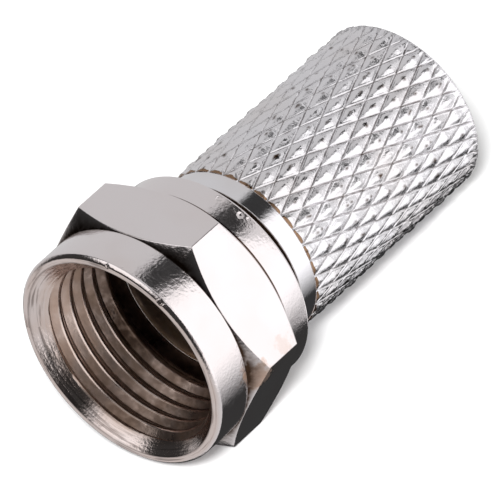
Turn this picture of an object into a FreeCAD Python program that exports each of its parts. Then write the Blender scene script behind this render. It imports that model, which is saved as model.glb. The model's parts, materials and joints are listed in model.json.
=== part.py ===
# Twist-on F connector: a hexagon coupling nut that turns on a diamond-knurled body.
# Both pieces are turned about one axis, from the nut's open face at 0 to the cable entry.
# The connector lies on a flat of its hexagon and on the rim of its cable entry.

import FreeCAD, Part
import math
import os
import Sketcher

# Driving dimensions in millimetres and degrees
SIZES = {
    # Coupling nut, outside
    "hex_across_flats": 11.0,
    "nut_length": 6.66,
    "collar_relief": 0.05,
    "collar_length": 1.98,
    "face_chamfer": 0.2,
    "front_cone_angle": 33.5,
    "hex_corner_length": 1.86,
    "rear_cone_angle": 35.0,
    "rear_collar_step": 0.34,
    "rear_chamfer": 0.08,
    # Coupling nut, inside
    "thread_minor_diameter": 8.66,
    "countersink_depth": 0.7,
    "relief_depth": 0.52,
    "relief_length": 0.85,
    "lip_thickness": 0.8,
    # Clearances between the nut and the body
    "running_clearance": 0.05,
    "flange_clearance": 0.13,
    "flange_play": 0.1,
    "shoulder_gap": 0.77,
    # Body, in front of the knurl
    "neck_wall": 0.75,
    "flange_thickness": 0.6,
    "flange_chamfer": 0.1,
    "flange_rim": 0.12,
    "flange_dish": 0.12,
    "band_step": 0.03,
    "band_length": 1.01,
    # Knurled sleeve
    "sleeve_length": 11.56,
    "sleeve_wall": 0.85,
    "knurl_depth": 0.14,
    "knurl_starts": 32,
    "knurl_pitch": 2.14,
    "knurl_crest_share": 0.14,
    "knurl_first_row": 0.04,
    "knurl_clocking": 4.5,
    "knurl_bevel": 0.24,
    "rim_chamfer": 0.1,
    # Body, inside
    "dielectric_diameter": 4.9,
    "cable_diameter": 6.7,
    "cable_depth": 10.6,
    "cable_cone_angle": 45.0,
    "entry_chamfer": 0.25,
}

# How far a blank stands out beyond the form that is cut from it
ALLOWANCE = 0.1

# How far a cutting tool reaches past the face that it opens
OVERCUT = 1.0

# Radii and stations that several outlines share, written in the sheet's own sizes
APOTHEM = "(Sheet.hex_across_flats / 2)"
CORNER_RADIUS = f"({APOTHEM} / cos(30))"
BAR_RADIUS = f"({CORNER_RADIUS} + {ALLOWANCE})"
COLLAR_RADIUS = f"({APOTHEM} - Sheet.collar_relief)"
REAR_COLLAR_RADIUS = f"({APOTHEM} - Sheet.rear_collar_step)"
FRONT_SLOPE = "tan(Sheet.front_cone_angle)"
REAR_SLOPE = "tan(Sheet.rear_cone_angle)"
CORNER_START = f"(Sheet.collar_length + ({CORNER_RADIUS} - {COLLAR_RADIUS}) * {FRONT_SLOPE})"
CORNER_END = f"({CORNER_START} + Sheet.hex_corner_length)"
FLAT_END = f"({CORNER_END} + ({CORNER_RADIUS} - {APOTHEM}) * {REAR_SLOPE})"
THREAD_RADIUS = "(Sheet.thread_minor_diameter / 2)"
MOUTH_RADIUS = f"({THREAD_RADIUS} + Sheet.countersink_depth)"
RELIEF_RADIUS = f"({THREAD_RADIUS} + Sheet.relief_depth)"
LIP_FRONT = "(Sheet.nut_length - Sheet.lip_thickness)"
DIELECTRIC_RADIUS = "(Sheet.dielectric_diameter / 2)"
NECK_RADIUS = f"({DIELECTRIC_RADIUS} + Sheet.neck_wall)"
LIP_RADIUS = f"({NECK_RADIUS} + Sheet.running_clearance)"
FLANGE_RADIUS = f"({THREAD_RADIUS} - Sheet.flange_clearance)"
FLANGE_REAR = f"({LIP_FRONT} - Sheet.flange_play)"
FLANGE_FRONT = f"({FLANGE_REAR} - Sheet.flange_thickness)"
SHOULDER = "(Sheet.nut_length + Sheet.shoulder_gap)"
KNURL_FRONT = f"({SHOULDER} + Sheet.band_length)"
OVERALL_LENGTH = f"({KNURL_FRONT} + Sheet.sleeve_length)"
CABLE_RADIUS = "(Sheet.cable_diameter / 2)"
ROOT_RADIUS = f"({CABLE_RADIUS} + Sheet.sleeve_wall)"
CREST_RADIUS = f"({ROOT_RADIUS} + Sheet.knurl_depth)"
BAND_RADIUS = f"({ROOT_RADIUS} - Sheet.band_step)"
CABLE_STOP = f"({OVERALL_LENGTH} - Sheet.cable_depth)"

document = FreeCAD.newDocument("f_connector")


def make_sheet():
    """The sheet of driving dimensions: a name, a plain number and an alias on each row."""
    sheet = document.addObject("Spreadsheet::Sheet", "Sheet")
    for row, (alias, size) in enumerate(SIZES.items(), start=1):
        sheet.set(f"A{row}", alias)
        sheet.set(f"B{row}", str(size))
        sheet.setAlias(f"B{row}", alias)
    document.recompute()
    return sheet


def value(expression):
    """The number that an expression of the sheet's sizes stands for."""
    found = document.Sheet.evalExpression(expression)
    return float(getattr(found, "Value", found))


def add_sketch(body, name, plane_role):
    """A sketch on one of its body's own origin planes."""
    sketch = body.newObject("Sketcher::SketchObject", name)
    plane = next(f for f in body.Origin.OriginFeatures if f.Role == plane_role)
    sketch.AttachmentSupport = (plane, [""])
    sketch.MapMode = "FlatFace"
    return sketch


def pin_coordinate(sketch, kind, line, expression):
    """Holds one coordinate of a line's first point at the size that an expression gives."""
    if expression == "0":
        axis = -2 if kind == "DistanceX" else -1
        sketch.addConstraint(Sketcher.Constraint("PointOnObject", line, 1, axis))
        return
    size = value(expression)
    index = sketch.addConstraint(Sketcher.Constraint(kind, -1, 1, line, 1, size))
    name = f"{kind}_{line}"
    sketch.renameConstraint(index, name)
    sketch.setExpression(f"Constraints.{name}", expression)


def draw_outline(sketch, corners):
    """A closed outline of straight lines through corners given as pairs of expressions."""
    points = [FreeCAD.Vector(value(x), value(y), 0) for x, y in corners]
    first = sketch.GeometryCount
    for i, point in enumerate(points):
        sketch.addGeometry(Part.LineSegment(point, points[(i + 1) % len(points)]))
    for i in range(len(points)):
        following = first + (i + 1) % len(points)
        sketch.addConstraint(Sketcher.Constraint("Coincident", first + i, 2, following, 1))
    for i, (x, y) in enumerate(corners):
        pin_coordinate(sketch, "DistanceX", first + i, x)
        pin_coordinate(sketch, "DistanceY", first + i, y)


def turn_outline(body, name, corners):
    """Turns an outline of (radius, station) corners a full circle about the body's axis."""
    sketch = add_sketch(body, f"{name}_outline", "XZ_Plane")
    draw_outline(sketch, corners)
    turned = body.newObject("PartDesign::Revolution", f"{name}_turning")
    turned.Profile = sketch
    turned.ReferenceAxis = (sketch, ["V_Axis"])
    turned.Angle = 360
    sketch.Visibility = False
    document.recompute()
    return turned


def mill_hexagon(body):
    """Cuts the turned blank back to the hexagon bar's six flats, two of them level."""
    sketch = add_sketch(body, "hexagon_outline", "XY_Plane")
    corners = []
    for angle in range(0, 360, 60):
        corners.append((f"{CORNER_RADIUS} * cos({angle})", f"{CORNER_RADIUS} * sin({angle})"))
    draw_outline(sketch, corners)
    clear_radius = f"{BAR_RADIUS} + {OVERCUT}"
    centre, up = FreeCAD.Vector(0, 0, 0), FreeCAD.Vector(0, 0, 1)
    ring = sketch.addGeometry(Part.Circle(centre, up, value(clear_radius)))
    sketch.addConstraint(Sketcher.Constraint("Coincident", ring, 3, -1, 1))
    radius = sketch.addConstraint(Sketcher.Constraint("Radius", ring, value(clear_radius)))
    sketch.renameConstraint(radius, "clear_radius")
    sketch.setExpression("Constraints.clear_radius", clear_radius)
    flats = body.newObject("PartDesign::Pocket", "flats")
    flats.Profile = sketch
    flats.Reversed = True
    flats.setExpression("Length", "Sheet.nut_length")
    sketch.Visibility = False
    document.recompute()
    return flats


def build_nut():
    """The nut: collars, hexagon, countersunk threaded bore, thread relief and rear lip."""
    nut = document.addObject("PartDesign::Body", "nut")
    nut.Label = "coupling_nut"
    over_front = f"({BAR_RADIUS} - {COLLAR_RADIUS}) * {FRONT_SLOPE}"
    over_rear = f"({BAR_RADIUS} - {CORNER_RADIUS}) * {REAR_SLOPE}"
    down_rear = f"({CORNER_RADIUS} - {REAR_COLLAR_RADIUS}) * {REAR_SLOPE}"
    relief_front = f"{LIP_FRONT} - Sheet.relief_length"
    blank = turn_outline(
        nut,
        "nut",
        [
            (MOUTH_RADIUS, "0"),
            (f"{COLLAR_RADIUS} - Sheet.face_chamfer", "0"),
            (COLLAR_RADIUS, "Sheet.face_chamfer"),
            (COLLAR_RADIUS, "Sheet.collar_length"),
            (BAR_RADIUS, f"Sheet.collar_length + {over_front}"),
            (BAR_RADIUS, f"{CORNER_END} - {over_rear}"),
            (REAR_COLLAR_RADIUS, f"{CORNER_END} + {down_rear}"),
            (REAR_COLLAR_RADIUS, "Sheet.nut_length - Sheet.rear_chamfer"),
            (f"{REAR_COLLAR_RADIUS} - Sheet.rear_chamfer", "Sheet.nut_length"),
            (LIP_RADIUS, "Sheet.nut_length"),
            (LIP_RADIUS, LIP_FRONT),
            (RELIEF_RADIUS, LIP_FRONT),
            (RELIEF_RADIUS, relief_front),
            (THREAD_RADIUS, f"{relief_front} - Sheet.relief_depth"),
            (THREAD_RADIUS, "Sheet.countersink_depth"),
        ],
    )
    turned_volume = blank.Shape.Volume
    flats = mill_hexagon(nut)
    if flats.Shape.Volume >= turned_volume:
        raise ValueError("the hexagon cut nothing from the nut")
    return nut


def knurl_cell(row, column, spacing):
    """The five faces of one diamond: four slopes down to its corners and a flat crest."""
    step, half_pitch, first_row, root_radius, apex_radius, crest_share = spacing

    def lattice_point(up, along, radius):
        angle = math.radians(value("Sheet.knurl_clocking")) + (column + along) * step
        station = first_row + (row + up) * half_pitch
        return FreeCAD.Vector(radius * math.cos(angle), radius * math.sin(angle), station)

    apex = lattice_point(0, 0, apex_radius)
    outward = FreeCAD.Vector(apex.x, apex.y, 0).normalize()
    drop = crest_share * (apex_radius - root_radius)
    roots, crests = [], []
    for up, along in ((-1, 0), (0, 1), (1, 0), (0, -1)):
        root = lattice_point(up, along, root_radius)
        ridge = root - apex
        roots.append(root)
        crests.append(apex + ridge * (drop / -ridge.dot(outward)))
    faces = [polygon_face(crests)]
    for i in range(4):
        after = (i + 1) % 4
        faces.append(polygon_face([crests[i], roots[i], roots[after], crests[after]]))
    return faces


def polygon_face(corners):
    """A flat face with straight edges."""
    return Part.Face(Part.makePolygon(corners + corners[:1]))


def knurl_solid():
    """A faceted bar of raised diamonds, longer than the sleeve by a row or more at each end."""
    starts = int(value("Sheet.knurl_starts"))
    half_pitch = value("Sheet.knurl_pitch") / 2
    crest_share = value("Sheet.knurl_crest_share")
    root_radius = value(ROOT_RADIUS)
    apex_radius = root_radius + value("Sheet.knurl_depth") / (1 - crest_share)
    step = math.pi / starts
    first_row = value(KNURL_FRONT) + value("Sheet.knurl_first_row") - half_pitch
    rows = math.ceil((value(OVERALL_LENGTH) - first_row) / half_pitch) + 1
    spacing = (step, half_pitch, first_row, root_radius, apex_radius, crest_share)
    faces = []
    for row in range(rows + 1):
        for column in range((row + 1) % 2, 2 * starts, 2):
            faces += knurl_cell(row, column, spacing)
    for end_row, beyond in ((0, -1), (rows, rows + 1)):
        faces += end_fan(end_row, beyond, starts, spacing)
    shell = Part.makeShell(faces)
    shell.sewShape()
    return Part.makeSolid(shell)


def end_fan(end_row, beyond, starts, spacing):
    """Triangles from the axis to the zigzag of roots that ends the rows of diamonds."""
    step, half_pitch, first_row, root_radius, _, _ = spacing
    centre = FreeCAD.Vector(0, 0, first_row + beyond * half_pitch)
    rim = []
    for column in range(2 * starts):
        row = end_row if (column + end_row) % 2 == 0 else beyond
        angle = math.radians(value("Sheet.knurl_clocking")) + column * step
        x, y = root_radius * math.cos(angle), root_radius * math.sin(angle)
        rim.append(FreeCAD.Vector(x, y, first_row + row * half_pitch))
    return [polygon_face([centre, rim[i - 1], rim[i]]) for i in range(len(rim))]


def build_sleeve():
    """The knurled sleeve, still solid, bevelled in front and chamfered round its rim."""
    knurl = document.addObject("Part::Feature", "knurl")
    knurl.Shape = knurl_solid()
    trim = document.addObject("PartDesign::Body", "sleeve_trim")
    clear_radius = f"{CREST_RADIUS} + {ALLOWANCE}"
    bevel_slope = "Sheet.knurl_bevel / Sheet.knurl_depth"
    bevel_run = f"(Sheet.knurl_depth + {ALLOWANCE}) * {bevel_slope}"
    turn_outline(
        trim,
        "sleeve_trim",
        [
            ("0", KNURL_FRONT),
            (ROOT_RADIUS, KNURL_FRONT),
            (clear_radius, f"{KNURL_FRONT} + {bevel_run}"),
            (clear_radius, f"{OVERALL_LENGTH} - Sheet.rim_chamfer - {ALLOWANCE}"),
            (f"{CREST_RADIUS} - Sheet.rim_chamfer", OVERALL_LENGTH),
            ("0", OVERALL_LENGTH),
        ],
    )
    sleeve = document.addObject("Part::Common", "sleeve")
    sleeve.Base = knurl
    sleeve.Tool = trim
    return sleeve


def build_stem():
    """The turned front of the body, still solid: dished flange, neck and plain band."""
    stem = document.addObject("PartDesign::Body", "stem")
    rim_radius = f"{FLANGE_RADIUS} - Sheet.flange_chamfer"
    turn_outline(
        stem,
        "stem",
        [
            ("0", f"{FLANGE_FRONT} + Sheet.flange_dish"),
            (f"{rim_radius} - Sheet.flange_rim", f"{FLANGE_FRONT} + Sheet.flange_dish"),
            (f"{rim_radius} - Sheet.flange_rim", FLANGE_FRONT),
            (rim_radius, FLANGE_FRONT),
            (FLANGE_RADIUS, f"{FLANGE_FRONT} + Sheet.flange_chamfer"),
            (FLANGE_RADIUS, FLANGE_REAR),
            (NECK_RADIUS, FLANGE_REAR),
            (NECK_RADIUS, SHOULDER),
            (BAND_RADIUS, SHOULDER),
            (BAND_RADIUS, KNURL_FRONT),
            ("0", KNURL_FRONT),
        ],
    )
    return stem


def build_bores():
    """The body's stepped bore as a cutter: dielectric bore, cone, cable bore, entry chamfer."""
    bores = document.addObject("PartDesign::Body", "bores")
    cone_run = f"({CABLE_RADIUS} - {DIELECTRIC_RADIUS}) / tan(Sheet.cable_cone_angle)"
    entry_radius = f"{CABLE_RADIUS} + Sheet.entry_chamfer"
    turn_outline(
        bores,
        "bores",
        [
            ("0", f"{FLANGE_FRONT} - {OVERCUT}"),
            (DIELECTRIC_RADIUS, f"{FLANGE_FRONT} - {OVERCUT}"),
            (DIELECTRIC_RADIUS, f"{CABLE_STOP} - {cone_run}"),
            (CABLE_RADIUS, CABLE_STOP),
            (CABLE_RADIUS, f"{OVERALL_LENGTH} - Sheet.entry_chamfer"),
            (entry_radius, OVERALL_LENGTH),
            (entry_radius, f"{OVERALL_LENGTH} + {OVERCUT}"),
            ("0", f"{OVERALL_LENGTH} + {OVERCUT}"),
        ],
    )
    return bores


def build_body():
    """The one-piece body: stem and knurled sleeve, bored through."""
    blank = document.addObject("Part::Fuse", "body_blank")
    blank.Base = build_stem()
    blank.Tool = build_sleeve()
    body = document.addObject("Part::Cut", "body")
    body.Label = "knurled_body"
    body.Base = blank
    body.Tool = build_bores()
    document.recompute()
    return body


def rest_placement():
    """The pose in which the connector lies: on a flat of the hexagon and on its rear rim."""
    apothem, crest_radius = value(APOTHEM), value(CREST_RADIUS)
    flat_end, length = value(FLAT_END), value(OVERALL_LENGTH)
    face_edge = value(COLLAR_RADIUS) - value("Sheet.face_chamfer")
    rim_chamfer = value("Sheet.rim_chamfer")
    tilt = math.atan2(apothem - crest_radius, length - rim_chamfer - flat_end)
    height = flat_end * math.sin(tilt) + apothem * math.cos(tilt)
    front = -face_edge * math.sin(tilt)
    rear = length * math.cos(tilt) + (crest_radius - rim_chamfer) * math.sin(tilt)
    turn = FreeCAD.Rotation(FreeCAD.Vector(1, 0, 0), -90 - math.degrees(tilt))
    return FreeCAD.Placement(FreeCAD.Vector(0, -(front + rear) / 2, height), turn)


def check_document(pieces):
    """Stops if any object failed or any piece has no sound solid."""
    for item in document.Objects:
        if "Invalid" in item.State or "Error" in item.State:
            raise ValueError(f"{item.Name} failed: {item.State}")
    for piece in pieces:
        shape = piece.Shape
        if shape.isNull() or not shape.isValid() or len(shape.Solids) != 1:
            raise ValueError(f"{piece.Label} is not one valid solid")


def main():
    make_sheet()
    pieces = [build_nut(), build_body()]
    for piece in pieces:
        piece.Placement = rest_placement()
    document.recompute()
    check_document(pieces)
    os.makedirs("parts", exist_ok=True)
    for piece in pieces:
        piece.Shape.exportStep(f"parts/{piece.Label}.step")
        print(piece.Label, "volume", round(piece.Shape.Volume, 2), "mm3")
    print("placed at", rest_placement())


main()
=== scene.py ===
import bmesh
import bpy
import json
import math
from mathutils import Matrix, Vector, noise


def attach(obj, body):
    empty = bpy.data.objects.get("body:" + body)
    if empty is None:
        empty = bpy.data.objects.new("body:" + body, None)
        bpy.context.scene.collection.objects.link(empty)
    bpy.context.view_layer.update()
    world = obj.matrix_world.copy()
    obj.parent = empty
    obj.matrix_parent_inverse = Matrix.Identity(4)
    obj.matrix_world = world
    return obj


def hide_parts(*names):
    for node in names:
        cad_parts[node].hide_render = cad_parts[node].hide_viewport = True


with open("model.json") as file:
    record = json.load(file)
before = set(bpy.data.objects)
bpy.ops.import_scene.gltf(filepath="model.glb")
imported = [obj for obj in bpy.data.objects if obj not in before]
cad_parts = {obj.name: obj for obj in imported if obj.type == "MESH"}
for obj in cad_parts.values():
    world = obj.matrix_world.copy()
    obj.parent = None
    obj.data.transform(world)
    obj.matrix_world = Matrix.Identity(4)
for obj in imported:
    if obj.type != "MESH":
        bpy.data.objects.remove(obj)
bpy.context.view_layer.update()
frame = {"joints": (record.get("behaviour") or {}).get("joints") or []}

MM = 0.001

# The connector's axis, from the nut's open face at station 0 towards the cable entry.
# Stations and radii below are in millimetres about this axis, and angles in radians.
# The joint lies at the middle of the nut's lip.
JOINT = frame["joints"][0]
JOINT_STATION = 6.26
AXIS = Vector(JOINT["axis"]).normalized()
ACROSS = Vector((1, 0, 0))
DOWN = AXIS.cross(ACROSS)
FACE_CENTRE = Vector(JOINT["pos_m"]) - AXIS * JOINT_STATION * MM

# Coupling nut
APOTHEM = 5.498
COLLAR_RADIUS = 5.445
COLLAR_LENGTH = 1.98
FACE_CHAMFER = 0.16
FRONT_SLOPE = math.tan(math.radians(33.5))
REAR_SLOPE = math.tan(math.radians(35.0))
HEX_CORNER_RADIUS = APOTHEM / math.cos(math.pi / 6)
HEX_CORNER_START = COLLAR_LENGTH + (HEX_CORNER_RADIUS - COLLAR_RADIUS) * FRONT_SLOPE
HEX_CORNER_LENGTH = 1.86
HEX_CORNER_END = HEX_CORNER_START + HEX_CORNER_LENGTH
REAR_COLLAR_RADIUS = 5.16
REAR_CHAMFER = 0.08
NUT_LENGTH = 6.66
LIP_FRONT = 5.86
LIP_RADIUS = 3.25
RELIEF_FRONT = 5.01
RELIEF_RADIUS = 4.85
COUNTERSINK = 0.7
NUT_ROUNDING = 0.05
NUT_COLUMNS = 192

# The nut's 3/8-32 thread
NUT_THREAD_MINOR = 4.33
NUT_THREAD_MAJOR = 4.66
NUT_THREAD_PITCH = 0.794
NUT_THREAD_PHASE = 0.15

# Marks in the nut's bore: the angles where painted shade lies, half the width of the rubbed lines
# in shares of the pitch, and how far in the mouth's soiled edge reaches
SHADE_BELOW = math.radians(95)
SHADE_BESIDE = math.radians(150)
RUBBED_LINE = 0.05
SOILED_EDGE = 0.06

# Small dents in the nut: radius, angle in degrees, station and size
DENTS = (
    (5.16, -72.5, 6.35, 0.2),
    (5.16, -59.0, 6.3, 0.2),
    (5.16, -55.0, 6.42, 0.14),
    (5.33, -53.5, 0.0, 0.22),
    (5.33, -85.0, 0.0, 0.16),
    (5.44, -78.0, 0.25, 0.1),
)

# Stains at the nut's lower corner: place across, down and along the axis, size and strength
STAINS = (
    (5.89, 0.41, 2.28, 1.15, 0.95),
    (6.16, -0.32, 3.81, 0.85, 0.45),
)

# Knurled body
FLANGE_FRONT = 5.16
FLANGE_REAR = 5.76
FLANGE_RADIUS = 4.2
FLANGE_CHAMFER = 0.1
FLANGE_RIM = 0.12
FLANGE_DISH = 0.12
# The side of the flange's face that the painted shade leaves light
FLANGE_LIT_SIDE = math.radians(75)
NECK_RADIUS = 3.2
SHOULDER = 7.43
BAND_RADIUS = 4.17
SHOULDER_EDGE = 0.05
KNURL_FRONT = 8.44
LENGTH = 20.0
DIELECTRIC_RADIUS = 2.45
CABLE_STOP = 9.4
CABLE_RADIUS = 3.35
ENTRY_CHAMFER = 0.25
BODY_ROUNDING = 0.03
BODY_COLUMNS = 128

# Knurl: domed diamonds between two families of crossing grooves
KNURL_ROOT = 4.17
KNURL_DEPTH = 0.165
KNURL_STARTS = 32
KNURL_PITCH = 2.14
KNURL_FIRST_ROW = KNURL_FRONT + 0.04
KNURL_CLOCKING = math.radians(4.5)
BEVEL_START_RADIUS = 4.195
BEVEL_LENGTH = 0.36
KNURL_RIM_CHAMFER = 0.12
KNURL_RIM_LAND = 0.16

# A diamond's section, by the share of the way from its middle to the groove beside it
CREST_SHARE = 0.14
BURR_SHARE = 0.78
GROOVE_SHARE = 0.86
BURR_HEIGHT = 0.025
GROOVE_DEPTH = 0.05
DOME_POWER = 1.15

# The knurl's wear and marks: its noise's fineness, how far grooves wander in shares of a diamond,
# how much lower a dome can be, and the noise above which a crest's middle gets a painted dark
# reflection
KNURL_NOISE = 2.5
GROOVE_WANDER = 0.03
DOME_LOSS = 0.5
DARK_CREST_LEVEL = 0.05

# Where the lines of a diamond's own grid lie, from one groove to just before the next
KNURL_CUTS = (-0.5, -0.465, -0.43, -0.39, -0.33, -0.2, -0.07, 0.07, 0.2, 0.33, 0.39, 0.43, 0.465)

# The coarse thread in the cable entry that grips the jacket, and the length over which it fades
GRIP_MAJOR = 3.58
GRIP_PITCH = 1.1
GRIP_FADE = 0.6

# A thread's section: its cuts per pitch and half of its crest, in shares of the pitch
THREAD_CUTS = 16
THREAD_CREST_HALF = 0.07

# Finishes of a surface: its shares of tarnish, soil and polish. The soil share also paints shade,
# which the corner, hidden and shaded finishes below stand for.
CLEAN = (0.0, 0.0, 0.0)
RUBBED = (0.45, 0.0, 0.0)
# Tarnish with a line of painted shade, for corners
CORNER_SHADE = (0.3, 1.2, 0.0)
POLISHED = (0.0, 0.0, 1.0)
# Tarnish with painted shade, for faces hidden in gaps and pockets
HIDDEN = (1.0, 0.75, 0.0)
SHADED = (0.9, 0.35, 0.0)

# The width of a line of painted shade in a corner
SHADE_LINE_WIDTH = 0.07

# Vertices nearer than this are one, and faces that meet at a greater angle meet sharply
MERGE_DISTANCE = 0.0005 * MM
SHARP_ANGLE = math.radians(30)


def clamp(value, low=0.0, high=1.0):
    return min(max(value, low), high)


def climb(value, low, high):
    """How far a value has gone from low to high, kept between 0 and 1."""
    return clamp((value - low) / (high - low))


def at_angle(size, angle):
    """A size that is either plain or a function of the angle."""
    return size(angle) if callable(size) else size


class Turned:
    """A mesh of rings about the axis, each ring a list of vertices in order of angle."""

    def __init__(self, columns, first_angle=0.0):
        self.columns = columns
        self.mesh = bmesh.new()
        layers = self.mesh.verts.layers.float
        self.layers = [layers.new(name) for name in ("wear", "soil_and_shade", "polish")]
        self.soft = self.mesh.faces.layers.int.new("soft")
        self.rounded = self.mesh.edges.layers.int.new("rounded")
        self.first_angle = first_angle

    def vertex(self, radius, angle, station, finish=CLEAN):
        """A vertex at a radius and angle about the axis, at a station along it."""
        turned = self.first_angle + angle
        across = ACROSS * (radius * math.cos(turned)) + DOWN * (radius * math.sin(turned))
        vertex = self.mesh.verts.new(FACE_CENTRE + (across + AXIS * station) * MM)
        for layer, share in zip(self.layers, finish):
            vertex[layer] = share
        return vertex

    def ring(self, radius, station, finish=CLEAN):
        """A ring whose radius, station and finish are plain or functions of the angle."""
        angles = [2 * math.pi * column / self.columns for column in range(self.columns)]
        return [
            self.vertex(at_angle(radius, a), a, at_angle(station, a), at_angle(finish, a))
            for a in angles
        ]

    def join(self, first, second):
        """Faces between two rings of as many columns."""
        for i in range(len(first)):
            self.mesh.faces.new((first[i - 1], first[i], second[i], second[i - 1]))

    def chain(self, rings):
        """Faces between each ring and the next."""
        for first, second in zip(rings, rings[1:]):
            self.join(first, second)

    def turn_of(self, vertex):
        """A vertex's angle about the axis, from 0 to a full circle."""
        outward = vertex.co - FACE_CENTRE
        return math.atan2(outward.dot(DOWN), outward.dot(ACROSS)) % (2 * math.pi)

    def stitch(self, first, second):
        """Triangles between two rings whose columns don't match."""
        near = sorted(first, key=self.turn_of)
        far = sorted(second, key=self.turn_of)
        near_turns = [self.turn_of(vertex) for vertex in near[1:]] + [math.inf]
        far_turns = [self.turn_of(vertex) for vertex in far[1:]] + [math.inf]
        i = j = 0
        while i < len(near) or j < len(far):
            corners = [near[i % len(near)], far[j % len(far)]]
            if j == len(far) or (i < len(near) and near_turns[i] <= far_turns[j]):
                i += 1
                corners.append(near[i % len(near)])
            else:
                j += 1
                corners.append(far[j % len(far)])
            self.mesh.faces.new(corners)

    def round_edge(self, first, second):
        """Marks the edge between two vertices to be rounded off."""
        edge = self.mesh.edges.get((first, second))
        edge[self.rounded] = 1

    def round_ring(self, ring):
        """Marks the edges round a ring to be rounded off."""
        for i in range(len(ring)):
            self.round_edge(ring[i - 1], ring[i])

    def helix(self, pitch, start, stop, radius_at, finish_at):
        """A threaded wall whose rows follow the thread. Returns its first and last ring."""
        rise = pitch / THREAD_CUTS
        rows = math.ceil((stop - start) / rise) + THREAD_CUTS
        grid = []
        for column in range(self.columns):
            turn = column / self.columns
            line = []
            for row in range(rows + 1):
                level = start + (row - THREAD_CUTS) * rise + pitch * turn
                station = clamp(level, start, stop)
                radius = radius_at(turn, station)
                angle = 2 * math.pi * turn
                line.append(self.vertex(radius, angle, station, finish_at(turn, station)))
            grid.append(line)
        for column in range(self.columns):
            near, far = grid[column], grid[(column + 1) % self.columns]
            shift = THREAD_CUTS if column == self.columns - 1 else 0
            for row in range(rows):
                above = min(row + shift, rows)
                below = min(row + 1 + shift, rows)
                corners = [near[row], near[row + 1], far[below]]
                if above != below:
                    corners.append(far[above])
                self.mesh.faces.new(corners)
        return [line[0] for line in grid], [line[-1] for line in grid]

    def trim(self, station, outward):
        """Cuts off what lies outward of a station. Returns the cut's vertices."""
        mesh = self.mesh
        cut = bmesh.ops.bisect_plane(
            mesh,
            geom=mesh.verts[:] + mesh.edges[:] + mesh.faces[:],
            dist=MERGE_DISTANCE,
            plane_co=FACE_CENTRE + AXIS * station * MM,
            plane_no=outward,
            clear_outer=True,
        )
        return [v for v in cut["geom_cut"] if isinstance(v, bmesh.types.BMVert)]

    def finish(self, name, rounding):
        """The mesh as an object: merged, its marked edges rounded and its flats kept flat."""
        mesh = self.mesh
        bmesh.ops.remove_doubles(mesh, verts=mesh.verts, dist=MERGE_DISTANCE)
        bmesh.ops.dissolve_degenerate(mesh, edges=mesh.edges, dist=MERGE_DISTANCE)
        edges = [e for e in mesh.edges if e[self.rounded]]
        bmesh.ops.bevel(
            mesh, geom=edges, offset=rounding * MM, segments=3, profile=0.5, affect="EDGES"
        )
        bmesh.ops.recalc_face_normals(mesh, faces=mesh.faces)
        for edge in mesh.edges:
            soft = all(f[self.soft] for f in edge.link_faces)
            edge.smooth = soft or edge.calc_face_angle(0) < SHARP_ANGLE
        data = bpy.data.meshes.new(name)
        mesh.to_mesh(data)
        mesh.free()
        for polygon in data.polygons:
            polygon.use_smooth = True
        piece = bpy.data.objects.new(name, data)
        bpy.context.collection.objects.link(piece)
        weigh = piece.modifiers.new("weigh", "WEIGHTED_NORMAL")
        weigh.keep_sharp = True
        weigh.weight = 90
        graph = bpy.context.evaluated_depsgraph_get()
        piece.data = bpy.data.meshes.new_from_object(piece.evaluated_get(graph))
        piece.data.name = name
        piece.modifiers.clear()
        return piece


def crest_distance(phase):
    """How far a phase of a thread's pitch is from the nearest crest, from 0 to a half."""
    return abs(phase - round(phase))


def thread_rise(phase):
    """How far a thread stands out at a phase of its pitch, from root 0 to crest 1."""
    flank = 0.5 - THREAD_CREST_HALF
    return min((0.5 - crest_distance(phase)) / flank, 1.0)


def flat_radius(angle):
    """The distance from the axis to the hexagon's side, two of whose flats are level."""
    sixth = math.pi / 3
    return APOTHEM / math.cos(angle % sixth - sixth / 2)


def nut_thread_phase(turn, station):
    return station / NUT_THREAD_PITCH - turn - NUT_THREAD_PHASE


def nut_bore(turn, station):
    """The nut's bore: countersink, thread and the ramp into the thread relief."""
    rise = thread_rise(nut_thread_phase(turn, station))
    thread = NUT_THREAD_MAJOR + (NUT_THREAD_MINOR - NUT_THREAD_MAJOR) * rise
    mouth = NUT_THREAD_MINOR + COUNTERSINK - station
    ramp = RELIEF_RADIUS - (RELIEF_FRONT - station)
    return max(thread, mouth, ramp)


def nut_bore_finish(turn, station):
    """Tarnish inside the bore, rubbed along the crest's edges, with painted shade in the roots,
    deep in and below, and soil at the mouth's edge.
    """
    from_crest = crest_distance(nut_thread_phase(turn, station))
    angle = 2 * math.pi * turn
    inside = climb(station, 0.25, 0.75)
    deep = climb(station, 1.5, 4.0)
    below = max(math.cos(angle - SHADE_BELOW), 0.0)
    beside = max(math.cos(angle - SHADE_BESIDE), 0.0) ** 2
    in_root = (2 * from_crest) ** 8
    on_line = max(1 - abs(from_crest - THREAD_CREST_HALF) / RUBBED_LINE, 0.0)
    rubbed = on_line * climb(station, 4.5, 3.5)
    unrubbed = inside * (1 - rubbed)
    # Painted shade below, beside, deep in the bore and in the thread's roots
    soil_and_shade = max(0.75 * below, 0.95 * beside * deep, 0.4 * deep, 0.35 * in_root)
    edge = 0.6 * (1 - station / SOILED_EDGE)
    return 0.4 + 0.5 * unrubbed, max(soil_and_shade * unrubbed, edge), rubbed * inside


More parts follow.
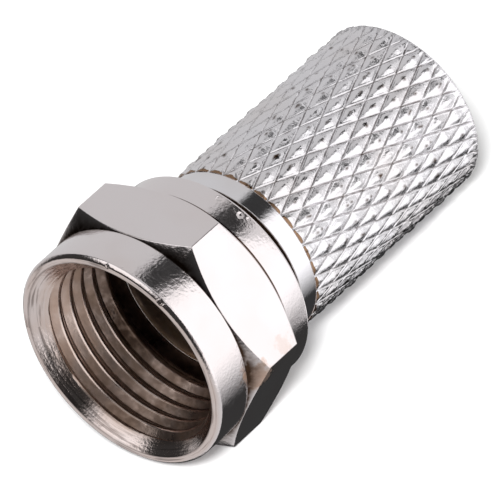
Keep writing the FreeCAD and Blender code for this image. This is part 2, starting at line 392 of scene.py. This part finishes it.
def build_nut():
    """The coupling nut, from its bore round the outside and back to its bore."""
    nut = Turned(NUT_COLUMNS)
    mouth, relief = nut.helix(NUT_THREAD_PITCH, 0.0, RELIEF_FRONT, nut_bore, nut_bore_finish)

    def front_cone(angle):
        return COLLAR_LENGTH + (flat_radius(angle) - COLLAR_RADIUS) * FRONT_SLOPE

    def rear_cone(angle):
        return HEX_CORNER_END + (HEX_CORNER_RADIUS - flat_radius(angle)) * REAR_SLOPE

    cone_end = HEX_CORNER_END + (HEX_CORNER_RADIUS - REAR_COLLAR_RADIUS) * REAR_SLOPE
    face_inner = nut.ring(NUT_THREAD_MINOR + COUNTERSINK + SHADE_LINE_WIDTH, 0.0, RUBBED)
    face_rim = nut.ring(COLLAR_RADIUS - FACE_CHAMFER, 0.0, RUBBED)
    collar_front = nut.ring(COLLAR_RADIUS, FACE_CHAMFER)
    # Lines of painted shade lie in the corners at both ends of the flats
    collar_unshaded = nut.ring(COLLAR_RADIUS, COLLAR_LENGTH - SHADE_LINE_WIDTH / 2)
    collar_rear = nut.ring(COLLAR_RADIUS, COLLAR_LENGTH, CORNER_SHADE)
    flats_front = nut.ring(flat_radius, front_cone)
    flats_rear = nut.ring(flat_radius, rear_cone)
    rear_collar = nut.ring(REAR_COLLAR_RADIUS, cone_end, CORNER_SHADE)
    rear_shade_line = nut.ring(REAR_COLLAR_RADIUS, cone_end + SHADE_LINE_WIDTH, CORNER_SHADE)
    rear_unshaded = nut.ring(REAR_COLLAR_RADIUS, cone_end + 1.5 * SHADE_LINE_WIDTH)
    rear_edge = nut.ring(REAR_COLLAR_RADIUS, NUT_LENGTH - REAR_CHAMFER)
    rear_rim = nut.ring(REAR_COLLAR_RADIUS - REAR_CHAMFER, NUT_LENGTH)
    rear_face = nut.ring(REAR_COLLAR_RADIUS - 2 * REAR_CHAMFER, NUT_LENGTH, HIDDEN)
    lip_rear = nut.ring(LIP_RADIUS, NUT_LENGTH, HIDDEN)
    lip_front = nut.ring(LIP_RADIUS, LIP_FRONT, SHADED)
    pocket = nut.ring(RELIEF_RADIUS, LIP_FRONT, SHADED)
    nut.chain([mouth, face_inner, face_rim, collar_front, collar_unshaded, collar_rear])
    nut.join(collar_rear, flats_front)
    nut.chain([flats_front, flats_rear, rear_collar, rear_shade_line, rear_unshaded, rear_edge])
    nut.chain([rear_edge, rear_rim, rear_face, lip_rear, lip_front])
    nut.chain([lip_front, pocket, relief])
    for ring in (face_rim, collar_front, flats_front, flats_rear, rear_edge, rear_rim):
        nut.round_ring(ring)
    for corner in range(0, NUT_COLUMNS, NUT_COLUMNS // 6):
        nut.round_edge(flats_front[corner], flats_rear[corner])
    return nut.finish("coupling_nut_turned", NUT_ROUNDING)


def knurl_surface(across, along):
    """The radius and finish of the knurl's surface at a point of its lattice of diamonds."""
    first, second = across + along, across - along
    turn = 2 * math.pi * across / KNURL_STARTS
    spot = Vector((math.cos(turn), math.sin(turn), along)) * KNURL_NOISE
    wander = GROOVE_WANDER * noise.noise(spot * 3)
    first_share = abs(first - round(first) + wander)
    second_share = abs(second - round(second) - wander)
    share = min(2 * max(first_share, second_share), 1.0)

    cell = Vector((round(first) % KNURL_STARTS, round(second) % KNURL_STARTS, 0.5))
    height = 1 - DOME_LOSS * abs(noise.noise(cell * 0.7))
    dome = (1 - climb(share, CREST_SHARE, GROOVE_SHARE)) ** DOME_POWER * height
    in_groove = climb(share, GROOVE_SHARE, 1.0)
    groove = GROOVE_DEPTH * in_groove * (1 + 0.9 * noise.noise(spot * 2))
    on_burr = max(1 - abs(share - GROOVE_SHARE) / (GROOVE_SHARE - BURR_SHARE), 0.0)
    burr = BURR_HEIGHT * on_burr * clamp(0.8 + 1.5 * noise.noise(spot * 4), 0.0, 1.5)

    station = KNURL_FIRST_ROW + along * KNURL_PITCH
    land = clamp((LENGTH - station) / KNURL_RIM_LAND - 0.6)
    crest = KNURL_ROOT + KNURL_DEPTH
    radius = crest - (KNURL_DEPTH * (1 - dome) + groove - burr) * land
    climbed = (station - KNURL_FRONT) / BEVEL_LENGTH
    bevel = BEVEL_START_RADIUS + (crest - BEVEL_START_RADIUS) * climbed
    rim = crest + min(LENGTH - KNURL_RIM_CHAMFER - station, 0.0)

    # Painted shade in the grooves, and a painted dark reflection in the middle of some crests
    soil_and_shade = in_groove**2 * land * clamp(0.8 + 1.2 * noise.noise(spot * 3))
    on_crest = share < CREST_SHARE + 0.01
    if on_crest and noise.noise(spot * 5) > DARK_CREST_LEVEL:
        soil_and_shade = 1.0
    return min(radius, bevel, rim), (0.0, soil_and_shade * land, on_crest * land)


def build_knurl(body):
    """The knurl's skin of diamonds, trimmed at both ends. Returns its two end rings."""
    cuts = len(KNURL_CUTS)
    turn = KNURL_STARTS * cuts
    first_row = math.floor((KNURL_FRONT - KNURL_FIRST_ROW) / KNURL_PITCH * 2) - 1
    last_row = math.ceil((LENGTH - KNURL_FIRST_ROW) / KNURL_PITCH * 2) + 1
    vertices = {}

    def lattice_vertex(u, v):
        shift = (u + v) // (2 * turn) * turn
        key = (u - shift, v - shift)
        if key not in vertices:
            first = key[0] // cuts + KNURL_CUTS[key[0] % cuts]
            second = key[1] // cuts + KNURL_CUTS[key[1] % cuts]
            across, along = (first + second) / 2, (first - second) / 2
            radius, finish = knurl_surface(across, along)
            station = KNURL_FIRST_ROW + along * KNURL_PITCH
            angle = 2 * math.pi * across / KNURL_STARTS
            vertices[key] = body.vertex(radius, angle, station, finish)
        return vertices[key]

    for cell_u in range(KNURL_STARTS + last_row):
        for cell_v in range(cell_u - last_row, cell_u - first_row + 1):
            if not 0 <= cell_u + cell_v < 2 * KNURL_STARTS:
                continue
            for i in range(cuts):
                for j in range(cuts):
                    u, v = cell_u * cuts + i, cell_v * cuts + j
                    corners = [(u, v), (u + 1, v), (u + 1, v + 1), (u, v + 1)]
                    face = body.mesh.faces.new([lattice_vertex(*c) for c in corners])
                    face[body.soft] = 1
    return body.trim(KNURL_FRONT, -AXIS), body.trim(LENGTH, AXIS)


def grip_bore(turn, station):
    """The cable entry's coarse thread, which fades out at both ends."""
    from_end = min(station - CABLE_STOP, LENGTH - ENTRY_CHAMFER - station)
    rise = thread_rise(station / GRIP_PITCH - turn)
    return CABLE_RADIUS + (GRIP_MAJOR - CABLE_RADIUS) * (1 - rise) * clamp(from_end / GRIP_FADE)


def grip_tarnish_and_shade(turn, station):
    """The cable entry is tarnished, with painted shade that darkens it the deeper it goes."""
    return 0.9, 0.5 * (LENGTH - station) / (LENGTH - CABLE_STOP), 0.0


def flange_tarnish_and_shade(angle):
    """The flange's face is tarnished, with painted shade that is darker above than below."""
    below = max(math.cos(angle - FLANGE_LIT_SIDE), 0.0) ** 1.5
    return 0.9, 0.75 * (1 - below), 0.0


def build_body():
    """The knurled body, from the front of its bore round the outside and back."""
    body = Turned(BODY_COLUMNS, KNURL_CLOCKING)
    knurl_front, knurl_rear = build_knurl(body)
    grip_end = LENGTH - ENTRY_CHAMFER
    grip_front, grip_rear = body.helix(GRIP_PITCH, CABLE_STOP, grip_end, grip_bore, grip_tarnish_and_shade)
    cone_front = CABLE_STOP - (CABLE_RADIUS - DIELECTRIC_RADIUS)
    flange_face = FLANGE_FRONT + FLANGE_DISH
    rim_radius = FLANGE_RADIUS - FLANGE_CHAMFER
    dish_radius = rim_radius - FLANGE_RIM
    dish = body.ring(dish_radius, flange_face, flange_tarnish_and_shade)
    rim_inner = body.ring(dish_radius, FLANGE_FRONT, RUBBED)
    rim_outer = body.ring(rim_radius, FLANGE_FRONT, RUBBED)
    flange_edge = body.ring(FLANGE_RADIUS, FLANGE_FRONT + FLANGE_CHAMFER, RUBBED)
    # The faces behind the flange and in the gap before the shoulder carry painted shade
    flange_rear = body.ring(FLANGE_RADIUS, FLANGE_REAR, HIDDEN)
    neck_front = body.ring(NECK_RADIUS, FLANGE_REAR, HIDDEN)
    neck_rear = body.ring(NECK_RADIUS, SHOULDER, HIDDEN)
    shoulder_face = body.ring(BAND_RADIUS - SHOULDER_EDGE, SHOULDER, HIDDEN)
    shoulder = body.ring(BAND_RADIUS, SHOULDER, CORNER_SHADE)
    band_front = body.ring(BAND_RADIUS, SHOULDER + SHADE_LINE_WIDTH, POLISHED)
    band_rear = body.ring(BAND_RADIUS, KNURL_FRONT, POLISHED)
    entry = body.ring(CABLE_RADIUS + ENTRY_CHAMFER, LENGTH)
    bore_rear = body.ring(DIELECTRIC_RADIUS, cone_front, HIDDEN)
    bore_front = body.ring(DIELECTRIC_RADIUS, flange_face, flange_tarnish_and_shade)
    body.chain([bore_front, dish, rim_inner, rim_outer, flange_edge, flange_rear])
    body.chain([flange_rear, neck_front, neck_rear, shoulder_face, shoulder, band_front])
    body.join(band_front, band_rear)
    body.stitch(band_rear, knurl_front)
    body.stitch(knurl_rear, entry)
    body.join(entry, grip_rear)
    body.chain([grip_front, bore_rear, bore_front])
    for ring in (rim_inner, rim_outer, flange_edge, shoulder, entry, bore_front):
        body.round_ring(ring)
    return body.finish("knurled_body_turned", BODY_ROUNDING)


class Nodes:
    """Short ways to add and wire a node tree's nodes."""

    def __init__(self, tree):
        self.tree = tree

    def add(self, kind, **settings):
        node = self.tree.nodes.new(kind)
        for name, value in settings.items():
            setattr(node, name, value)
        return node

    def put(self, socket, value):
        """Wires an output to a socket, or sets the socket to a plain value."""
        if isinstance(value, bpy.types.NodeSocket):
            self.tree.links.new(value, socket)
        elif value is not None:
            socket.default_value = value

    def math(self, operation, first, second=None):
        node = self.add("ShaderNodeMath", operation=operation)
        self.put(node.inputs[0], first)
        self.put(node.inputs[1], second)
        return node.outputs[0]

    def vector(self, operation, first, second=None):
        node = self.add("ShaderNodeVectorMath", operation=operation)
        self.put(node.inputs[0], first)
        self.put(node.inputs[1], second)
        name = "Value" if operation in ("DOT_PRODUCT", "LENGTH") else "Vector"
        return node.outputs[name]

    def distance(self, spot, centre):
        """How far a spot is from a fixed point."""
        return self.vector("LENGTH", self.vector("SUBTRACT", spot, tuple(centre)))

    def ramp(self, value, low, high, to_low=0.0, to_high=1.0):
        """A smooth step from to_low to to_high as the value goes from low to high."""
        node = self.add("ShaderNodeMapRange", interpolation_type="SMOOTHSTEP")
        for socket, size in zip(node.inputs, (value, low, high, to_low, to_high)):
            self.put(socket, size)
        return node.outputs["Result"]

    def noise(self, vector, scale, detail=2.0):
        node = self.add("ShaderNodeTexNoise")
        self.put(node.inputs["Vector"], vector)
        node.inputs["Scale"].default_value = scale
        node.inputs["Detail"].default_value = detail
        return node.outputs["Fac"]

    def mix(self, share, first, second):
        """The first colour, and the second as the share goes to 1."""
        node = self.add("ShaderNodeMix", data_type="RGBA")
        self.put(node.inputs[0], share)
        self.put(node.inputs[6], first)
        self.put(node.inputs[7], second)
        return node.outputs[2]

    def bumps(self, heights):
        """The surface's normal, bumped by each of the pairs of a height and its depth in mm."""
        normal = None
        for height, depth in heights:
            bump = self.add("ShaderNodeBump")
            bump.inputs["Distance"].default_value = depth * MM
            self.put(bump.inputs["Height"], height)
            self.put(bump.inputs["Normal"], normal)
            normal = bump.outputs["Normal"]
        return normal


# A dark colour for real soil and for painted shade
SOIL_AND_SHADE_COLOUR = (0.06, 0.033, 0.02, 1)
BRASS_COLOUR = (0.28, 0.175, 0.11, 1)
DENT_DEPTH = 0.05

# The fineness of each kind of mark's noise, in cells to the metre
CLOUDS = 260.0
TARNISH_PATCHES = 900.0
SHEEN_PATCHES = 1500.0
STAIN_EDGE = 2500.0
SOIL_AND_SHADE_PATCHES = 3000.0
BRASS_EDGE = 3500.0
BROAD_GRAIN = 4000.0
DENT_EDGE = 7000.0
FINE_GRAIN = 8500.0
TURNED_LINES = 9000.0

# The mouth's marks fade out behind these stations and outside these radii
MOUTH_STATIONS = (0.3, 0.55)
MOUTH_RADII = (5.2, 5.32)


def place_about_axis(nodes, spot):
    """The station, radius and angle of the shaded spot about the connector's axis."""
    from_face = nodes.vector("SUBTRACT", spot, tuple(FACE_CENTRE))
    station = nodes.vector("DOT_PRODUCT", from_face, tuple(AXIS))
    along = nodes.add("ShaderNodeVectorMath", operation="SCALE")
    along.inputs[0].default_value = tuple(AXIS)
    nodes.put(along.inputs["Scale"], station)
    outward = nodes.vector("SUBTRACT", from_face, along.outputs["Vector"])
    aside = nodes.vector("DOT_PRODUCT", outward, tuple(ACROSS))
    below = nodes.vector("DOT_PRODUCT", outward, tuple(DOWN))
    return station, nodes.vector("LENGTH", outward), nodes.math("ARCTAN2", below, aside)


def turned_lines(nodes, station, radius, angle):
    """The fine lines that turning leaves round the axis."""
    section = nodes.add("ShaderNodeCombineXYZ")
    nodes.put(section.inputs[0], radius)
    nodes.put(section.inputs[1], station)
    nodes.put(section.inputs[2], nodes.math("MULTIPLY", angle, 0.3 * MM))
    return nodes.noise(section.outputs[0], TURNED_LINES, 3.0)


def mouth_share(nodes, station, radius):
    """1 on the nut's countersink and the inner part of its face, and 0 elsewhere."""
    in_front = nodes.ramp(station, MOUTH_STATIONS[0] * MM, MOUTH_STATIONS[1] * MM, 1.0, 0.0)
    inner = nodes.ramp(radius, MOUTH_RADII[0] * MM, MOUTH_RADII[1] * MM, 1.0, 0.0)
    return nodes.math("MULTIPLY", in_front, inner)


def stain_share(nodes, spot):
    """How stained the surface is, with soft ragged edges."""
    stain = 0.0
    ragged = nodes.math("MULTIPLY", nodes.noise(spot, STAIN_EDGE, 4.0), 1.2 * MM)
    for across, down, station, size, strength in STAINS:
        centre = FACE_CENTRE + (ACROSS * across + DOWN * down + AXIS * station) * MM
        away = nodes.math("ADD", nodes.distance(spot, centre), ragged)
        mark = nodes.ramp(away, size * MM, (size + 0.4) * MM, strength, 0.0)
        stain = nodes.math("MAXIMUM", stain, mark)
    return stain


def dent_height(nodes, spot):
    """A height of 1 that falls to 0 in the dents."""
    height = 1.0
    ragged = nodes.math("MULTIPLY", nodes.noise(spot, DENT_EDGE), 0.12 * MM)
    for radius, degrees, station, size in DENTS:
        turn = math.radians(degrees)
        around = ACROSS * math.cos(turn) + DOWN * math.sin(turn)
        centre = FACE_CENTRE + (around * radius + AXIS * station) * MM
        away = nodes.math("ADD", nodes.distance(spot, centre), ragged)
        beyond = nodes.ramp(away, 0.6 * size * MM, 1.2 * size * MM)
        height = nodes.math("MULTIPLY", height, beyond)
    return height


def brass_share(nodes, spot, station, radius, bare):
    """Where the plate is gone: above the band, in a ragged line behind the station bare."""
    ragged = nodes.math("MULTIPLY", nodes.noise(spot, BRASS_EDGE), 0.16 * MM)
    behind = nodes.math("SUBTRACT", nodes.math("SUBTRACT", station, bare * MM), ragged)
    before_end = nodes.ramp(behind, 0.03 * MM, 0.05 * MM, 1.0, 0.0)
    above = nodes.math("GREATER_THAN", radius, (BAND_RADIUS + 0.01) * MM)
    return nodes.math("MULTIPLY", before_end, above)


def plated_metal(name, plate, tarnish, roughness, grain_depth, line_depth, bare=None):
    """Nickel plate, tarnished, soiled, painted with shade and polished where the mesh's layers
    say.
    """
    material = bpy.data.materials.new(name)
    material.use_nodes = True
    nodes = Nodes(material.node_tree)
    shader = material.node_tree.nodes["Principled BSDF"]
    shader.inputs["Metallic"].default_value = 1.0
    spot = nodes.add("ShaderNodeTexCoord").outputs["Object"]
    station, radius, angle = place_about_axis(nodes, spot)
    lines = turned_lines(nodes, station, radius, angle)
    on_mouth = mouth_share(nodes, station, radius)
    wear, soil_and_shade, polish = [
        nodes.add("ShaderNodeAttribute", attribute_name=layer).outputs["Fac"]
        for layer in ("wear", "soil_and_shade", "polish")
    ]

    cloudy = nodes.ramp(nodes.noise(spot, CLOUDS, 3.0), 0.4, 0.75, 0.0, 0.14)
    patchy = nodes.ramp(nodes.noise(spot, TARNISH_PATCHES, 4.0), 0.3, 0.7, 0.7, 1.0)
    worn = nodes.math("MAXIMUM", wear, stain_share(nodes, spot))
    tarnished = nodes.math("MAXIMUM", nodes.math("MULTIPLY", worn, patchy), cloudy)
    metal = nodes.mix(tarnished, plate, tarnish)
    if bare is not None:
        brass = brass_share(nodes, spot, station, radius, bare)
        metal = nodes.mix(brass, metal, BRASS_COLOUR)
        polish = nodes.math("MAXIMUM", polish, brass)
    # The soil layer paints shade in corners, grooves, gaps and deep bores, and real soil at the
    # nut's mouth, in the same dark colour as the mouth's scratches
    patchy_soil_and_shade = nodes.ramp(nodes.noise(spot, SOIL_AND_SHADE_PATCHES, 3.0), 0.2, 0.6, 0.6, 1.0)
    scratched = nodes.math("MULTIPLY", on_mouth, nodes.ramp(lines, 0.48, 0.68, 0.0, 0.6))
    dirt_and_shade = nodes.math("MAXIMUM", nodes.math("MULTIPLY", soil_and_shade, patchy_soil_and_shade), scratched)
    nodes.put(shader.inputs["Base Color"], nodes.mix(dirt_and_shade, metal, SOIL_AND_SHADE_COLOUR))

    sheen = nodes.noise(spot, SHEEN_PATCHES, 4.0)
    sheen = nodes.ramp(sheen, 0.3, 0.75, roughness, roughness * 1.8)
    dull = nodes.math("ADD", sheen, nodes.ramp(tarnished, 0.4, 0.9, 0.0, 0.35))
    unpolished = nodes.math("SUBTRACT", 1.0, nodes.math("MULTIPLY", polish, 0.6))
    nodes.put(shader.inputs["Roughness"], nodes.math("MULTIPLY", dull, unpolished))

    line_height = nodes.math("ADD", nodes.math("MULTIPLY", on_mouth, 5.0), 1.0)
    uneven = nodes.math("SUBTRACT", 1.0, nodes.math("MULTIPLY", polish, 0.85))
    heights = (
        (nodes.math("MULTIPLY", lines, line_height), line_depth),
        (nodes.math("MULTIPLY", nodes.noise(spot, BROAD_GRAIN), uneven), grain_depth),
        (nodes.math("MULTIPLY", nodes.noise(spot, FINE_GRAIN, 3.0), uneven), grain_depth),
        (dent_height(nodes, spot), DENT_DEPTH),
    )
    nodes.put(shader.inputs["Normal"], nodes.bumps(heights))
    return material


# The studio's panels, as the metal sees them, by azimuth from +X towards +Y and by elevation,
# in degrees: the middle, half width and soft edge in azimuth, then in elevation, and the light
PANELS = (
    (3.0, 50.0, 12.0, 11.0, 47.0, 46.0, 1.3),
    (76.0, 26.0, 14.0, -4.5, 41.5, 10.0, 0.85),
    (84.0, 14.0, 8.0, -41.0, 8.0, 6.0, 1.4),
    (140.0, 48.0, 14.0, 21.0, 55.0, 8.0, 0.64),
    (-112.0, 38.0, 30.0, 49.0, 14.0, 10.0, 1.2),
    (-75.0, 108.0, 20.0, -56.0, 42.0, 20.0, 0.7),
    (0.0, 200.0, 1.0, 90.0, 27.0, 10.0, 0.55),
)
DARK_ROOM = 0.04


def soft_span(nodes, off_middle, half, soft, light):
    """The light up to half a width off a panel's middle, fading to 0 over a soft edge."""
    return nodes.ramp(off_middle, half - soft / 2, half + soft / 2, light, 0.0)


def build_studio():
    """A dark room with soft bright panels round the connector."""
    world = bpy.data.worlds.new("studio")
    bpy.context.scene.world = world
    world.use_nodes = True
    nodes = Nodes(world.node_tree)
    way = nodes.add("ShaderNodeTexCoord").outputs["Generated"]
    parts = nodes.add("ShaderNodeSeparateXYZ")
    nodes.put(parts.inputs[0], way)
    x, y, z = parts.outputs
    azimuth = nodes.math("MULTIPLY", nodes.math("ARCTAN2", y, x), 180 / math.pi)
    elevation = nodes.math("MULTIPLY", nodes.math("ARCSINE", z), 180 / math.pi)
    light = DARK_ROOM
    for middle, half, soft, level, half_level, soft_level, power in PANELS:
        wrapped = nodes.add("ShaderNodeMath", operation="WRAP")
        turned = nodes.math("SUBTRACT", azimuth, middle)
        for socket, size in zip(wrapped.inputs, (turned, 180.0, -180.0)):
            nodes.put(socket, size)
        aside = nodes.math("ABSOLUTE", wrapped.outputs[0])
        beyond = nodes.math("ABSOLUTE", nodes.math("SUBTRACT", elevation, level))
        within = soft_span(nodes, aside, half, soft, power)
        upright = soft_span(nodes, beyond, half_level, soft_level, 1.0)
        light = nodes.math("MAXIMUM", light, nodes.math("MULTIPLY", within, upright))
    background = world.node_tree.nodes["Background"]
    nodes.put(background.inputs["Color"], light)


FLOOR_HALF = 3.0


def build_floor():
    """A pale matt floor that the metal doesn't mirror."""
    data = bpy.data.meshes.new("floor")
    signs = ((-1, -1), (1, -1), (1, 1), (-1, 1))
    corners = [(x * FLOOR_HALF, y * FLOOR_HALF, 0) for x, y in signs]
    data.from_pydata(corners, [], [(0, 1, 2, 3)])
    floor = bpy.data.objects.new("floor", data)
    bpy.context.collection.objects.link(floor)
    material = bpy.data.materials.new("floor_paper")
    material.use_nodes = True
    shader = material.node_tree.nodes["Principled BSDF"]
    shader.inputs["Base Color"].default_value = (0.9, 0.9, 0.9, 1)
    shader.inputs["Roughness"].default_value = 1.0
    shader.inputs["Specular IOR Level"].default_value = 0.0
    data.materials.append(material)
    floor.visible_glossy = False


# Camera, fitted to the outlines in the photograph
PHOTO_SIZE = 500
FACE_CENTRE_PIXEL = (119.57, 360.66)
PIXELS_PER_MM = 23.28
CAMERA_DISTANCE = 476.0
CAMERA_AZIMUTH = math.radians(49.06)
CAMERA_ELEVATION = math.radians(39.80)
CAMERA_ROLL = math.radians(-16.58)
SENSOR = 36.0


def camera_axes():
    """The camera's directions to its right, up and back."""
    sin_a, cos_a = math.sin(CAMERA_AZIMUTH), math.cos(CAMERA_AZIMUTH)
    sin_e, cos_e = math.sin(CAMERA_ELEVATION), math.cos(CAMERA_ELEVATION)
    back = Vector((sin_a * cos_e, -cos_a * cos_e, sin_e))
    level = Vector((cos_a, sin_a, 0))
    right = Matrix.Rotation(CAMERA_ROLL, 3, back) @ level
    return right, back.cross(right), back


def build_camera():
    """A camera that sees the nut's face at its place in the photograph."""
    right, up, back = camera_axes()
    location = FACE_CENTRE + back * CAMERA_DISTANCE * MM
    shift_right = (PHOTO_SIZE / 2 - FACE_CENTRE_PIXEL[0]) / PIXELS_PER_MM
    shift_up = (FACE_CENTRE_PIXEL[1] - PHOTO_SIZE / 2) / PIXELS_PER_MM
    target = FACE_CENTRE + (right * shift_right + up * shift_up) * MM
    away = (location - target).normalized()
    side = up.cross(away).normalized()
    turn = Matrix((side, away.cross(side), away)).transposed()
    data = bpy.data.cameras.new("camera")
    data.sensor_width = SENSOR
    data.lens = PIXELS_PER_MM * CAMERA_DISTANCE * SENSOR / PHOTO_SIZE
    data.clip_start, data.clip_end = 0.01, 10.0
    camera = bpy.data.objects.new("camera", data)
    camera.matrix_world = Matrix.Translation(location) @ turn.to_4x4()
    bpy.context.collection.objects.link(camera)
    bpy.context.scene.camera = camera


# The lamp's size, power and distance, and its shifts up and left of the camera
LAMP_SIZE = 0.16
LAMP_POWER = 9.0
LAMP_DISTANCE = 0.9
LAMP_UP = 0.09
LAMP_LEFT = 0.1


def build_key_light():
    """A small soft lamp near the camera's line, whose shadow peeps out at the lower right."""
    right, up, back = camera_axes()
    data = bpy.data.lights.new("key", "AREA")
    data.shape = "DISK"
    data.size = LAMP_SIZE
    data.energy = LAMP_POWER
    lamp = bpy.data.objects.new("key", data)
    lamp.location = (back + up * LAMP_UP - right * LAMP_LEFT) * LAMP_DISTANCE
    lamp.rotation_mode = "QUATERNION"
    lamp.rotation_quaternion = (-lamp.location).to_track_quat("-Z", "Y")
    lamp.visible_glossy = False
    bpy.context.collection.objects.link(lamp)


nickel = plated_metal(
    "nickel",
    plate=(0.83, 0.775, 0.785, 1),
    tarnish=(0.6, 0.41, 0.31, 1),
    roughness=0.08,
    grain_depth=0.007,
    line_depth=0.001,
)
knurled_nickel = plated_metal(
    "knurled_nickel",
    plate=(0.85, 0.83, 0.86, 1),
    tarnish=(0.5, 0.35, 0.22, 1),
    roughness=0.15,
    grain_depth=0.018,
    line_depth=0.0006,
    bare=KNURL_FRONT,
)

nut = build_nut()
nut.data.materials.append(nickel)
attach(nut, "nut")
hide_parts("coupling_nut")

body = build_body()
body.data.materials.append(knurled_nickel)
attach(body, "connector_body")
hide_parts("knurled_body")

build_studio()
build_floor()
build_key_light()
build_camera()
bpy.context.scene.view_settings.view_transform = "Standard"
